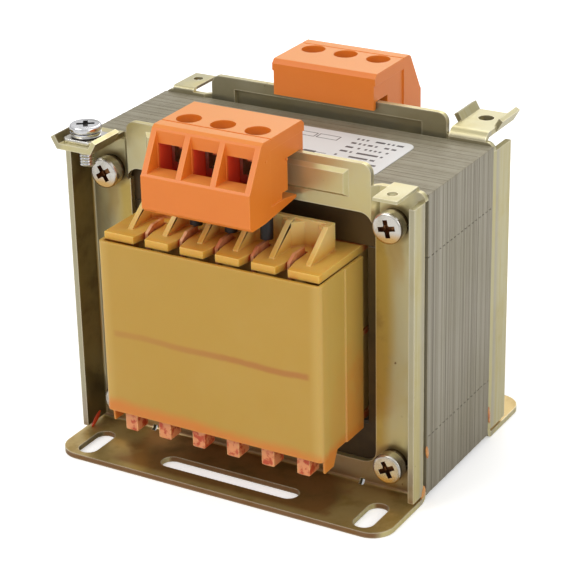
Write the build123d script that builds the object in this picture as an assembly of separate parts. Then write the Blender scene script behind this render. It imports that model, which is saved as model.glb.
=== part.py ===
from build123d import *
from math import cos, radians, sin, tan
import os

# A laminated chassis transformer that stands on the feet of its two pressed frames.
# Millimetres. X runs along the front, Y from front to rear, Z up from the feet.
# The front and rear frames, covers and terminal blocks are the same parts, half a turn apart.
# Places that say "out" are distances from the middle plane of the stack, towards the front.

# How far cutting shapes run past what they cut
cut_margin = 1.0

# Core: scrapless E and I sheets in packets that alternate end for end
core_width = 96.0
core_height = 80.0
limb = 16.0
centre_limb = 32.0
stack = 36.0
packet_count = 3
packet_gap = 0.06
joint_gap = 0.15

# Through bolts with captive spring washers, and their nuts
bolt_diameter = 4.0
bolt_play = 0.8
thread_play = 0.1
bolt_head_diameter = 8.0
bolt_head_height = 3.4
lock_washer_diameter = 7.6
lock_washer_height = 1.1
nut_across_flats = 7.0
nut_height = 3.2
nut_chamfer = 0.4
bolt_end = 1.6

# Pressed frames: one bent sheet each, with a foot, two flanges and a cross member
sheet = 1.5
foot_depth = 23.0
foot_corner = 6.0
foot_bend = 1.0
fixing_slot_edge = 7.5
fixing_slot_width = 5.5
fixing_slot_length = 12.6
slot_row = 15.0
middle_slot_length = 40.0
relief_edge = 17.0
relief_width = 1.2
relief_depth = 2.6
earth_flange_depth = 10.2
tab_flange_depth = 7.1
flange_bend = 2.2
flange_drop = 1.4
flange_foot_gap = 1.0
leg_width = 13.2
window_low_bar = 6.2
window_top_drop = 6.3
window_corner = 3.5
leg_rise = 0.8
cross_edge = 13.6
cross_rise = 6.0
cross_corner = 2.5
joggle = 1.5
joggle_run = 1.6
panel_edge = 5.9
panel_height = 7.0
panel_drop = 2.0
panel_relief = 1.1
panel_slope = 40

# Earth tab with turned-up ears, and the flat push-on tab
earth_tab_edge = 7.4
earth_hole_row = 11.3
earth_tab_rise = 2.8
earth_tab_width = 10.0
earth_tab_length = 17.0
earth_tab_bend = 2.8
ear_row = 6.6
ear_length = 3.4
ear_lean = 30
ear_thickness = 1.3
collar_diameter = 6.2
collar_depth = 1.2
push_tab_edge = 5.5
push_tab_width = 6.3
push_tab_thickness = 0.8
push_tab_rise = 1.9
push_tab_length = 11.6
push_tab_bend = 1.05
push_tab_hole = 2.6
push_tab_hole_back = 3.9

# Earth screw and its square clamp washer
earth_screw_head = 8.0
earth_screw_head_height = 3.1
earth_screw_length = 7.8
clamp_washer_side = 8.6
clamp_washer_height = 1.0
clamp_washer_corner = 0.8

# Bobbin: a tube with three flanges, six tongues and five solder pockets at each end
bobbin_play = 0.3
tube_wall = 1.5
flange_thickness = 2.0
flange_lip = 0.6
flange_reach = 4.8
middle_flange = 1.2
pocket_edge = 5.1
pocket_count = 5
slit_width = 1.4
slit_mouth = 3.4
slit_length = 11.9
slit_flare = 5.4
rib_thickness = 1.4
rib_height = 6.8
rib_row = 4.6
rib_top = 3.4
rib_edge = 3.9
rib_root = 0.5
rib_toe = 0.3
pocket_wall = 1.4
pocket_corner = 2.4
gusset_drop = 0.6
block_width = 3.6
block_depth = 4.8
block_height = 6.7
block_chamfer = 0.5

# Windings in the two chambers, and the film round each
winding_depth = 15.4
winding_corner = 6.0
winding_play = 0.1
film = 0.5

# Covers over the coil ends
cover_wall = 1.0
cover_window_play = 0.8
cover_side_play = 0.1
cover_front_play = 0.6
cover_frame_play = 1.0
cover_top_drop = 2.1
cover_low_drop = 1.1
cover_corner = 1.2
band_edge = 3.5
band_width = 9.1
band_depth = 0.4
lip_edge = 1.7
lip_width = 7.0
lip_root = 0.5
lip_front_slope = 0.4
lip_height = 3.8
lip_slope = 2.2

# Solder tags and sleeved leads
tag_thickness = 0.8
tag_slit_play = 1.2
tag_play = 0.3
tag_slope = 1.5
tag_leg = 1.1
tag_rise = 1.5
tag_drop = 7.0
sleeve_diameter = 3.2
sleeve_row = 0.2
sleeve_gap = 0.3
sleeve_top = 0.6

# Terminal blocks: three poles with captive screws, clipped over the frame's cross member
block_length = 30.0
pole_pitch = 9.5
pole_count = 3
roof_rise = 13.5
roof_chamfer = 1.1
roof_lip = 1.3
roof_round = 1.0
roof_round_drop = 0.6
bay_width = 8.0
ledge_depth = 5.6
ledge_chamfer = 0.5
ledge_rise = 3.1
body_drop = 6.6
body_back_gap = 4.6
body_chamfer = 1.0
back_step = 4.6
seat_play = 0.1
clip_play = 0.2
lip_depth = 2.1
hook_tip_gap = 1.3
hook_tip = 0.8
hook_root = 2.7
hook_height = 3.2
tongue_width = 4.0
tongue_thickness = 1.6
tongue_root = 2.2
tongue_root_play = 0.2
tongue_front = 3.0
tongue_back = 6.0
tongue_ramp = 2.0
barb_height = 1.6
cavity_width = 7.6
cavity_depth = 11.7
cavity_back_wall = 1.0
cavity_floor = 5.6
window_head = 6.2
driver_hole = 6.2
roof_groove = 0.5
roof_groove_depth = 0.35
groove_row = 3.3
side_recess = 0.4
side_recess_row = 3.7
side_recess_drop = 3.0
clamp_depth = 5.0
clamp_wall = 0.8
clamp_floor = 2.0
clamp_opening = 4.6
clamp_roof = 1.6
clamp_play = 0.2
terminal_head = 5.4
terminal_head_height = 2.0
pin_width = 3.0
pin_thickness = 0.8
pin_play = 0.2
pin_gap = 0.2

# Rating label, stuck to the top of the core
label_length = 64.0
label_depth = 24.5
label_thickness = 0.15
label_corner = 3.0
label_x = -1.0
label_out = 2.0

# Levels and places that follow from the sizes above
core_low = sheet
core_top = core_low + core_height
core_middle = core_low + core_height / 2
core_face = stack / 2
half_width = core_width / 2
window_width = (core_width - centre_limb) / 2 - limb
bolt_x = half_width - limb / 2
window_edge = half_width - limb
bolt_low = core_low + limb / 2
bolt_high = core_top - limb / 2
bolt_places = [(x, z) for x in (-bolt_x, bolt_x) for z in (bolt_low, bolt_high)]
frame_face = core_face + sheet
cross_top = core_top + cross_rise
cross_inner = core_face + joggle
cross_outer = cross_inner + sheet
window_half = half_width - leg_width
cross_half = half_width - cross_edge
panel_half = cross_half - panel_edge
foot_reach = core_face + foot_depth
fixing_slot_x = half_width - fixing_slot_edge
slot_row_out = core_face + slot_row
relief_x = half_width - relief_edge
window_low = core_low + window_low_bar
window_top = core_top - window_top_drop
coil_low = core_low + limb + bobbin_play
coil_top = core_top - limb - bobbin_play
coil_middle = (coil_low + coil_top) / 2
cover_half = window_edge - cover_window_play
flange_half = cover_half - cover_wall - cover_side_play
winding_half = flange_half - flange_lip - film
winding_out = core_face + winding_depth
flange_out = winding_out + film + flange_reach
cover_out = flange_out + cover_front_play + cover_wall
slit_start = flange_out - slit_length
tag_back = slit_start + tag_slit_play
sleeve_out = tag_back + sleeve_row
pocket_pitch = 2 * (flange_half - pocket_edge) / pocket_count
earth_tab_x = half_width - earth_tab_edge
earth_tab_out = core_face + earth_hole_row
earth_tab_end = core_face + earth_tab_length
earth_tab_top = core_top + earth_tab_rise
push_tab_x = half_width - push_tab_edge
push_tab_end = core_face + push_tab_length
push_tab_top = core_top + push_tab_rise
roof = core_top + roof_rise
ledge = core_top + ledge_rise
body_low = core_top - body_drop
body_back_out = cross_outer + body_back_gap
cavity_back_out = body_back_out + cavity_back_wall
bay_out = cavity_back_out + cavity_depth
ledge_out = bay_out + ledge_depth
roof_front_out = bay_out - roof_lip
roof_inner_out = core_face + seat_play
hook_tip_out = cross_outer + hook_tip_gap
cavity_low = body_low + cavity_floor
cavity_high = ledge + window_head
clamp_high = cavity_high - clamp_play
clamp_opening_high = clamp_high - clamp_roof
clamp_opening_low = clamp_opening_high - clamp_opening
clamp_low = clamp_opening_low - clamp_floor
pin_out = cavity_back_out + pin_play + pin_thickness / 2
driver_out = pin_out + pin_thickness / 2 + pin_gap + clamp_depth / 2
lead_top = body_low + sleeve_top
pocket_x = [pocket_pitch * (n - (pocket_count - 1) / 2) for n in range(pocket_count)]
rib_x = [pocket_pitch * (n - pocket_count / 2) for n in range(pocket_count + 1)]
pole_x = [pole_pitch * (n - (pole_count - 1) / 2) for n in range(pole_count)]


def block(x_low, x_high, y_low, y_high, z_low, z_high):
    """A square-edged block between two corners."""
    size = (x_high - x_low, y_high - y_low, z_high - z_low)
    middle = ((x_low + x_high) / 2, (y_low + y_high) / 2, (z_low + z_high) / 2)
    return Pos(*middle) * Box(*size)


def front_block(x_low, x_high, out_low, out_high, z_low, z_high):
    """A block on the front side, placed by its distances out from the middle plane."""
    return block(x_low, x_high, -out_high, -out_low, z_low, z_high)


def side_profile(points):
    """A face across X from (out, z) points of the front side."""
    return Plane.YZ * make_face(Polyline([(-out, z) for out, z in points], close=True))


def ridge(points, x_middle, width):
    """A side profile made as wide as given about one place along X."""
    return Pos(x_middle, 0, 0) * extrude(side_profile(points), amount=width / 2, both=True)


def upright(diameter, x, out, z_low, z_high):
    """A vertical round bar on the front side."""
    length = z_high - z_low
    return Pos(x, -out, z_low + length / 2) * Cylinder(diameter / 2, length)


def cross_bar(diameter, x, z, y_low, y_high):
    """A round bar along Y."""
    length = y_high - y_low
    return Pos(x, (y_low + y_high) / 2, z) * Rot(90, 0, 0) * Cylinder(diameter / 2, length)


def to_rear(shape):
    """The same piece at the rear, half a turn round the vertical axis."""
    return Rot(0, 0, 180) * shape


def front_view(sketch, out):
    """Places a sketch drawn as (x, z) on the plane at this distance out, facing the front."""
    return Plane.XZ.offset(out) * sketch


# Core

def hidden_hole():
    """Bolt clearance inside the stack, eight-sided because nothing shows it."""
    return RegularPolygon((bolt_diameter + bolt_play) / 2, 8, major_radius=False)


def e_outline():
    """E sheet with its yoke at the bottom, drawn about the centre of the core."""
    height = core_height - limb
    blank = Pos(0, -limb / 2) * Rectangle(core_width, height)
    window_x = (centre_limb + window_width) / 2
    window = Rectangle(window_width, core_height - 2 * limb + joint_gap)
    cut = Locations((window_x, joint_gap / 2), (-window_x, joint_gap / 2)) * window
    holes = Locations((bolt_x, bolt_low - core_middle), (-bolt_x, bolt_low - core_middle))
    return blank - cut - holes * hidden_hole()


def i_outline():
    """I sheet that closes the E at the top."""
    middle = bolt_high - core_middle
    blank = Pos(0, middle + joint_gap / 2) * Rectangle(core_width, limb - joint_gap)
    holes = Locations((bolt_x, middle), (-bolt_x, middle))
    return blank - holes * hidden_hole()


def packets(outline):
    """The outline in every packet, turned end for end in every second one."""
    pitch = stack / packet_count
    made = []
    for n in range(packet_count):
        out = core_face - pitch * (n + 1) + packet_gap / 2
        turned = outline if n % 2 == 0 else mirror(outline, about=Plane.XZ)
        packet = extrude(front_view(turned, out), amount=pitch - packet_gap)
        made.append(Pos(0, 0, core_middle) * packet)
    return made


# Frames

def frame_outline():
    """Front view of the bent sheet, from the foot up to the cross member, tabs apart."""
    leg_top = core_top + leg_rise
    legs = Pos(0, leg_top / 2) * Rectangle(2 * half_width, leg_top)
    top_corners = legs.vertices().group_by(Axis.Y)[-1]
    legs = fillet(top_corners, leg_rise + flange_drop)
    cross_height = cross_top - window_top
    cross = Pos(0, window_top + cross_height / 2) * Rectangle(2 * cross_half, cross_height)
    cross = fillet(cross.vertices().group_by(Axis.Y)[-1], cross_corner)
    window_height = window_top - window_low
    window = RectangleRounded(2 * window_half, window_height, window_corner)
    return legs + cross - Pos(0, window_low + window_height / 2) * window


def joggled_plan():
    """Plan of the sheet where the cross member is set outwards between the legs."""
    inner_run = cross_half
    outer_run = cross_half + joggle_run
    inside = [(-half_width, core_face), (-outer_run, core_face), (-inner_run, cross_inner),
              (inner_run, cross_inner), (outer_run, core_face), (half_width, core_face)]
    outside = [(x, out + sheet) for x, out in reversed(inside)]
    return make_face(Polyline([(x, -out) for x, out in inside + outside], close=True))


def foot_plan():
    """Plan of the foot with its two fixing slots and the long middle slot."""
    depth = foot_reach - core_face
    foot = Pos(0, -core_face - depth / 2) * Rectangle(2 * half_width, depth)
    foot = fillet(foot.vertices().group_by(Axis.Y)[0], foot_corner)
    fixing = Rot(0, 0, 90) * SlotOverall(fixing_slot_length, fixing_slot_width)
    places = Locations((fixing_slot_x, -slot_row_out), (-fixing_slot_x, -slot_row_out))
    middle = Pos(0, -slot_row_out) * SlotOverall(middle_slot_length, fixing_slot_width)
    return foot - places * fixing - middle


def edges_along_x(shape, y, z):
    """Edges that run along X at one place across the sheet."""
    found = shape.edges().filter_by(Axis.X)
    return [e for e in found if abs(e.center().Y - y) < 0.01 and abs(e.center().Z - z) < 0.01]


def corner_at(outline, x, y):
    """The corner of a flat outline at one place."""
    return [v for v in outline.vertices() if abs(v.X - x) < 0.01 and abs(v.Y - y) < 0.01]


def flange(side, depth):
    """Flange folded outwards from one leg, with its bend; side is 1 at the right."""
    length = 3 * sheet
    leg = Pos(half_width - length / 2, -core_face - sheet / 2) * Rectangle(length, sheet)
    fold = Pos(half_width - sheet / 2, -core_face - depth / 2) * Rectangle(sheet, depth)
    bend = leg + fold
    bend = fillet(corner_at(bend, half_width - sheet, -frame_face), flange_bend - sheet)
    bend = fillet(corner_at(bend, half_width, -core_face), flange_bend)
    low = sheet + flange_foot_gap
    high = core_top - flange_drop
    folded = extrude(Pos(0, 0, low) * bend, amount=high - low)
    return folded if side > 0 else mirror(folded, about=Plane.YZ)


def raised_panel(shape):
    """Presses the long panel of the cross member outwards."""
    middle = cross_top - panel_drop - panel_height / 2
    outside = Pos(0, middle) * Rectangle(2 * panel_half, panel_height)
    inset = panel_relief
    inside = Pos(0, middle) * Rectangle(2 * (panel_half - inset), panel_height - 2 * inset)
    pad = extrude(front_view(outside, cross_outer), amount=panel_relief, taper=panel_slope)
    hollow = extrude(front_view(inside, cross_inner), amount=panel_relief)
    return shape + pad - hollow


def earth_tab():
    """Tab folded outwards from the leg by a wide bend, with a tapped collar and two ears."""
    top = earth_tab_top
    centre_out = core_face + earth_tab_bend
    centre_z = top - earth_tab_bend
    ring = Circle(earth_tab_bend) - Circle(earth_tab_bend - sheet)
    quarter = ring & (Pos(earth_tab_bend / 2, earth_tab_bend / 2)
                      * Rectangle(earth_tab_bend, earth_tab_bend))
    bend = extrude(Plane.YZ * (Pos(-centre_out, centre_z) * quarter),
                   amount=earth_tab_width / 2, both=True)
    half = earth_tab_width / 2
    neck = front_block(-half, half, core_face, frame_face, core_top - sheet, centre_z)
    plate = front_block(-half, half, centre_out, earth_tab_end, top - sheet, top)
    lean = radians(ear_lean)
    tip_x = half + ear_length * sin(lean)
    tip_z = top - sheet + ear_length * cos(lean)
    inner_x = tip_x - ear_thickness * cos(lean)
    inner_z = tip_z + ear_thickness * sin(lean)
    ear = [(half - sheet, top - sheet), (half, top - sheet), (tip_x, tip_z), (inner_x, inner_z),
           (inner_x - (inner_z - top) * tan(lean), top), (half - sheet, top)]
    ear_face = make_face(Polyline(ear, close=True))
    ear_start = core_face + ear_row
    right_ear = extrude(front_view(ear_face, ear_start), amount=earth_tab_end - ear_start)
    left_ear = mirror(right_ear, about=Plane.YZ)
    collar = upright(collar_diameter, 0, earth_tab_out, top - sheet - collar_depth, top - sheet)
    hole = upright(bolt_diameter, 0, earth_tab_out, top - sheet - collar_depth, top)
    made = bend + neck + plate + right_ear + left_ear + collar - hole
    return Pos(-earth_tab_x, 0, 0) * made


def push_tab():
    """Flat tab folded sharply outwards, with its locating hole."""
    top = push_tab_top
    half = push_tab_width / 2
    root = front_block(-half, half, core_face, frame_face, core_top - sheet, top)
    root = fillet(edges_along_x(root, -core_face, top), push_tab_bend)
    blade = front_block(-half, half, core_face + sheet / 2, push_tab_end,
                        top - push_tab_thickness, top)
    hole = upright(push_tab_hole, 0, push_tab_end - push_tab_hole_back,
                   top - push_tab_thickness, top)
    return Pos(push_tab_x, 0, 0) * (root + blade - hole)


def frame():
    """The front frame: foot, legs, flanges, joggled cross member and both tabs."""
    joggle_low = window_top - window_corner
    lower = front_block(-half_width, half_width, core_face, frame_face, 0, joggle_low)
    upper = extrude(Pos(0, 0, joggle_low) * joggled_plan(), amount=cross_top - joggle_low)
    cutter = extrude(front_view(frame_outline(), 0), amount=foot_reach)
    made = (lower + upper) & cutter
    made = made + extrude(foot_plan(), amount=sheet)
    made = fillet(edges_along_x(made, -frame_face, sheet), foot_bend)
    made = fillet(edges_along_x(made, -core_face, 0), foot_bend + sheet)
    for side in (-1, 1):
        x = side * relief_x
        half = relief_width / 2
        made -= front_block(x - half, x + half, core_face, core_face + relief_depth, 0, relief_depth)
    for side, depth in ((-1, earth_flange_depth), (1, tab_flange_depth)):
        inner = half_width - 3 * sheet
        room = front_block(inner, half_width, core_face, frame_face,
                           sheet + flange_foot_gap, core_top - flange_drop)
        made -= room if side > 0 else mirror(room, about=Plane.YZ)
        made += flange(side, depth)
    for x, z in bolt_places:
        made -= cross_bar(bolt_diameter + bolt_play, x, z, -frame_face, -core_face)
    return raised_panel(made) + earth_tab() + push_tab()


# Fasteners

def pan_screw(shank_diameter, head_diameter, head_height, shank_length):
    """Pan-head screw along Z: head on top, its underside at the origin."""
    head = Pos(0, 0, head_height / 2) * Cylinder(head_diameter / 2, head_height)
    shank = Pos(0, 0, -shank_length / 2) * Cylinder(shank_diameter / 2, shank_length)
    return head + shank


def core_bolts():
    """Four bolts with their heads and captive spring washers at the front."""
    under_head = frame_face + lock_washer_height
    rear_end = frame_face + nut_height + bolt_end
    length = under_head + rear_end
    made = pan_screw(bolt_diameter - thread_play, bolt_head_diameter, bolt_head_height, length)
    washer = Pos(0, 0, -lock_washer_height / 2) * Cylinder(lock_washer_diameter / 2, lock_washer_height)
    lying = Rot(90, 0, 0) * (made + washer)
    return [Pos(x, -under_head, z) * lying for x, z in bolt_places]


def at_bolts(ring):
    """One copy of a ring or nut on each bolt."""
    return [Pos(x, 0, z) * ring for x, z in bolt_places]


def nut():
    """Hexagon nut at the rear end of a bolt."""
    low = frame_face
    hexagon = RegularPolygon(nut_across_flats / 2, 6, major_radius=False)
    solid = extrude(Plane.XZ.offset(-low - nut_height) * hexagon, amount=nut_height)
    solid = chamfer(solid.edges().group_by(Axis.Y)[-1], nut_chamfer)
    return solid - cross_bar(bolt_diameter, 0, 0, low, low + nut_height)


def earth_washer():
    """Square clamp washer under the earth screw."""
    side = clamp_washer_side / 2
    plate = front_block(-side, side, earth_tab_out - side, earth_tab_out + side,
                        earth_tab_top, earth_tab_top + clamp_washer_height)
    plate = chamfer(plate.edges().filter_by(Axis.Z), clamp_washer_corner)
    hole = upright(bolt_diameter + bolt_play / 2, 0, earth_tab_out, earth_tab_top,
                   earth_tab_top + clamp_washer_height)
    return Pos(-earth_tab_x, 0, 0) * (plate - hole)


def earth_screw():
    """Pan-head earth screw that reaches down through the tapped collar."""
    made = pan_screw(bolt_diameter - thread_play, earth_screw_head, earth_screw_head_height,
                     earth_screw_length)
    return Pos(-earth_tab_x, -earth_tab_out, earth_tab_top + clamp_washer_height) * made


# Bobbin, windings and covers

def bobbin_end():
    """What the bobbin carries outside the front of the core."""
    top = coil_top
    low = coil_low
    half_slit = slit_width / 2
    cuts = []
    for x in pocket_x:
        flare = flange_out - slit_flare
        points = [(x - half_slit, -slit_start), (x + half_slit, -slit_start), (x + half_slit, -flare),
                  (x + slit_mouth / 2, -flange_out), (x - slit_mouth / 2, -flange_out),
                  (x - half_slit, -flare)]
        slit = make_face(Polyline(points, close=True))
        cuts.append(extrude(Pos(0, 0, top - flange_thickness) * slit, amount=flange_thickness))
    back = core_face + rib_row
    toe = flange_out - rib_edge
    root = top - rib_root
    rib = [(back, root), (back, top + rib_height), (back + rib_top, top + rib_height),
           (toe, top + rib_toe), (toe, root)]
    pieces = [ridge(rib, x, rib_thickness) for x in rib_x]
    reach = rib_x[-1] + rib_thickness / 2
    hood_front = back + pocket_wall
    pieces.append(front_block(-reach, reach, back, hood_front, root, top + rib_height))
    for x in pocket_x:
        for side in (-1, 1):
            corner_x = x + side * (pocket_pitch - rib_thickness) / 2
            points = [(corner_x, -hood_front), (corner_x - side * pocket_corner, -hood_front),
                      (corner_x, -hood_front - pocket_corner)]
            gusset = make_face(Polyline(points, close=True))
            pieces.append(extrude(Pos(0, 0, top) * gusset, amount=rib_height - gusset_drop))
    for x in rib_x:
        half = block_width / 2
        hanging = front_block(x - half, x + half, flange_out - block_depth, flange_out,
                              low - block_height, low)
        pieces.append(chamfer(hanging.edges().group_by(Axis.Z)[0], block_chamfer))
    return cuts, pieces


def bobbin():
    """Tube, three flanges and both ends, moulded in one piece."""
    tube_x = centre_limb / 2 + bobbin_play + tube_wall
    tube_y = core_face + bobbin_play + tube_wall
    made = block(-tube_x, tube_x, -tube_y, tube_y, coil_low, coil_top)
    for z_low, thickness in ((coil_low, flange_thickness), (coil_top - flange_thickness, flange_thickness),
                             (coil_middle - middle_flange / 2, middle_flange)):
        made += block(-flange_half, flange_half, -flange_out, flange_out, z_low, z_low + thickness)
    cuts, pieces = bobbin_end()
    for piece in pieces:
        made = made + piece + to_rear(piece)
    for cut in cuts:
        made = made - cut - to_rear(cut)
    opening_x = centre_limb / 2 + bobbin_play
    opening_y = core_face + bobbin_play
    return made - block(-opening_x, opening_x, -opening_y, opening_y, coil_low - cut_margin,
                        coil_top + cut_margin)


def cut_rectangle(half_x, half_y, corner):
    """A rectangle with its corners cut off at 45 degrees."""
    outline = Rectangle(2 * half_x, 2 * half_y)
    return chamfer(outline.vertices(), corner)


def winding(z_low, z_high):
    """One winding, filling its chamber."""
    inner_x = centre_limb / 2 + bobbin_play + tube_wall + winding_play
    inner_y = core_face + bobbin_play + tube_wall + winding_play
    outer = cut_rectangle(winding_half, winding_out, winding_corner)
    ring = outer - Rectangle(2 * inner_x, 2 * inner_y)
    return extrude(Pos(0, 0, z_low) * ring, amount=z_high - z_low)


def film_wrap(z_low, z_high):
    """Insulating film round one winding."""
    outer = cut_rectangle(winding_half + film, winding_out + film, winding_corner)
    inner = cut_rectangle(winding_half, winding_out, winding_corner)
    return extrude(Pos(0, 0, z_low) * (outer - inner), amount=z_high - z_low)


def coil_cover():
    """Moulded cover over the front of the coil, with stepped sides and snap lips."""
    low = coil_low - cover_low_drop
    high = coil_top - cover_top_drop
    back = core_face + cover_frame_play
    shell = front_block(-cover_half, cover_half, back, cover_out, low, high)
    front_corners = shell.edges().filter_by(Axis.Z).group_by(Axis.Y)[0]
    shell = fillet(front_corners, cover_corner)
    inner = cover_half - cover_wall
    shell -= front_block(-inner, inner, back, cover_out - cover_wall, low, high)
    band_front = cover_out - band_edge
    lip_front = cover_out - lip_edge
    lip_back = lip_front - lip_width
    lip = [(lip_back, low + lip_root), (lip_back + lip_slope, low - lip_height),
           (lip_front - lip_front_slope, low - lip_height), (lip_front, low + lip_root)]
    for side in (-1, 1):
        x_outer = side * cover_half
        x_step = side * (cover_half - band_depth)
        shell -= front_block(min(x_outer, x_step), max(x_outer, x_step),
                             band_front - band_width, band_front, low, high)
        shell += ridge(lip, side * (cover_half - band_depth - (cover_wall - band_depth) / 2),
                       cover_wall - band_depth)
    return shell


def solder_tags():
    """Tags that stand in the slits of the pockets, with a leg in front of the winding."""
    top = coil_top
    under = top - flange_thickness
    leg_back = winding_out + film + tag_play
    leg_front = leg_back + tag_leg
    points = [(tag_back, under), (tag_back, top + tag_rise), (leg_back - tag_slope, top + tag_rise),
              (leg_front, top), (leg_front, top - tag_drop), (leg_back, top - tag_drop),
              (leg_back, under)]
    return [ridge(points, x, tag_thickness) for x in pocket_x]


def straight_lead(start, end):
    """A straight sleeved lead between two points."""
    run = end - start
    middle = (start + end) * 0.5
    return Plane(middle, z_dir=run) * Cylinder(sleeve_diameter / 2, run.length)


def sleeved_leads():
    """Short sleeved leads from the solder pockets up to the pins of the terminal block."""
    low = coil_top + tag_rise + sleeve_gap
    made = []
    for n, x in enumerate(pole_x, start=-1):
        made.append(straight_lead(Vector(n * pocket_pitch, -sleeve_out, low), Vector(x, -pin_out, lead_top)))
    return made


# Terminal blocks

def housing_profile():
    """Side profile of the housing, with the rear hook and the lip behind the cross member."""
    seat = cross_top + seat_play
    slot_inner = cross_inner - clip_play
    hook_low = body_low + hook_height / 2
    hook_back = body_back_out + hook_root
    return [(roof_inner_out, seat - lip_depth), (roof_inner_out, roof - roof_chamfer),
            (roof_inner_out + roof_chamfer, roof), (roof_front_out, roof),
            (roof_front_out + roof_round, roof - roof_round_drop), (ledge_out - ledge_chamfer, ledge),
            (ledge_out, ledge - ledge_chamfer), (ledge_out, body_low + body_chamfer),
            (ledge_out - body_chamfer, body_low), (roof_front_out, body_low),
            (hook_tip_out, hook_low), (hook_tip_out, hook_low + hook_tip),
            (hook_back, body_low + hook_height), (hook_back, body_low + back_step),
            (body_back_out, body_low + back_step), (body_back_out, seat), (slot_inner, seat),
            (slot_inner, seat - lip_depth)]


def housing():
    """Three-pole terminal housing that clips over the cross member."""
    made = ridge(housing_profile(), 0, block_length)
    tongue_top = window_top - clip_play
    tongue_low = tongue_top - tongue_thickness
    barb_in = core_face + clip_play / 2
    barb_out = cross_inner - clip_play
    front = roof_front_out - tongue_front
    back = hook_tip_out + tongue_back
    root = body_low + tongue_root
    tongue = [(front + tongue_ramp, body_low + tongue_root_play), (front, tongue_low), (barb_in, tongue_low),
              (barb_in, tongue_top + barb_height), (barb_out, tongue_top + barb_height),
              (barb_out, tongue_top), (back, tongue_top), (back + tongue_ramp, root),
              (front + tongue_ramp, root)]
    for side in (-1, 1):
        made += ridge(tongue, side * pole_pitch / 2, tongue_width)
    for x in pole_x:
        half_bay = bay_width / 2
        half_cavity = cavity_width / 2
        made -= front_block(x - half_bay, x + half_bay, bay_out, ledge_out + cut_margin, ledge,
                            roof + cut_margin)
        made -= front_block(x - half_cavity, x + half_cavity, cavity_back_out, bay_out, cavity_low,
                            cavity_high)
        made -= upright(driver_hole, x, driver_out, cavity_high, roof)
        half_pin = pin_width / 2 + pin_play
        pin_half = pin_thickness / 2 + pin_play
        made -= front_block(x - half_pin, x + half_pin, pin_out - pin_half,
                            pin_out + pin_half, tongue_low - cut_margin, cavity_low)
    half_length = block_length / 2
    groove_out = driver_out + groove_row
    made -= front_block(-half_length, half_length, groove_out, groove_out + roof_groove,
                        roof - roof_groove_depth, roof)
    for side in (-1, 1):
        edge = side * half_length
        step = side * (half_length - side_recess)
        made -= front_block(min(edge, step), max(edge, step), roof_inner_out, driver_out + side_recess_row,
                            body_low + hook_height, roof - side_recess_drop)
    return made


def terminal_clamps():
    """Rising clamps, each a cage with an opening for the wire and its captive screw on top."""
    half = cavity_width / 2 - clamp_play
    inner = half - clamp_wall
    back = driver_out - clamp_depth / 2
    front = driver_out + clamp_depth / 2
    made = []
    for x in pole_x:
        cage = front_block(x - half, x + half, back, front, clamp_low, clamp_high)
        cage -= front_block(x - inner, x + inner, back, front, clamp_opening_low, clamp_opening_high)
        made.append(cage + upright(terminal_head, x, driver_out, clamp_high, clamp_high + terminal_head_height))
    return made


def terminal_pins():
    """Pins bent from strip: a tongue through the clamp and a tail down out of the housing."""
    tongue_high = clamp_opening_high - pin_gap
    back = pin_out - pin_thickness / 2
    tail_low = lead_top + pin_gap
    points = [(back, tail_low), (back, tongue_high), (driver_out + clamp_depth / 2, tongue_high),
              (driver_out + clamp_depth / 2, tongue_high - pin_thickness),
              (back + pin_thickness, tongue_high - pin_thickness), (back + pin_thickness, tail_low)]
    return [ridge(points, x, pin_width) for x in pole_x]


def rating_label():
    """Thin label with rounded corners on top of the core."""
    outline = RectangleRounded(label_length, label_depth, label_corner)
    return extrude(Pos(label_x, -label_out, core_top) * outline, amount=label_thickness)


def write(name, shapes):
    """Writes one sub-part, which may hold several separate solids."""
    shapes = shapes if isinstance(shapes, list) else [shapes]
    solids = [solid for shape in shapes for solid in shape.solids()]
    made = solids[0] if len(solids) == 1 else Compound(children=solids)
    made.label = name
    export_step(made, f"parts/{name}.step")
    print(name, len(solids))


def write_pair(name, shapes):
    """Writes the front piece and the same piece at the rear."""
    shapes = shapes if isinstance(shapes, list) else [shapes]
    write(f"front_{name}", shapes)
    write(f"rear_{name}", [to_rear(shape) for shape in shapes])


os.makedirs("parts", exist_ok=True)
chamber_low = (coil_low + flange_thickness + winding_play, coil_middle - middle_flange / 2 - winding_play)
chamber_high = (coil_middle + middle_flange / 2 + winding_play, coil_top - flange_thickness - winding_play)

write("e_laminations", packets(e_outline()))
write("i_laminations", packets(i_outline()))
write_pair("frame", frame())
write("core_bolts", core_bolts())
write("core_nuts", at_bolts(nut()))
write("earth_clamp_washer", earth_washer())
write("earth_screw", earth_screw())
write("bobbin", bobbin())
write("lower_winding", winding(*chamber_low))
write("upper_winding", winding(*chamber_high))
write("lower_winding_film", film_wrap(*chamber_low))
write("upper_winding_film", film_wrap(*chamber_high))
write_pair("coil_cover", coil_cover())
write_pair("solder_tags", solder_tags())
write_pair("sleeved_leads", sleeved_leads())
write_pair("terminal_housing", housing())
write_pair("terminal_clamps", terminal_clamps())
write_pair("terminal_pins", terminal_pins())
write("rating_label", rating_label())
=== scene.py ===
"""Dresses the laminated chassis transformer: finishes, edges, fasteners, sheets, light and camera."""

from __future__ import annotations

import logging
import math
from dataclasses import dataclass, field
from enum import Enum
from functools import reduce
from typing import Iterable, Sequence

import bpy
from mathutils import Matrix, Vector

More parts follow.
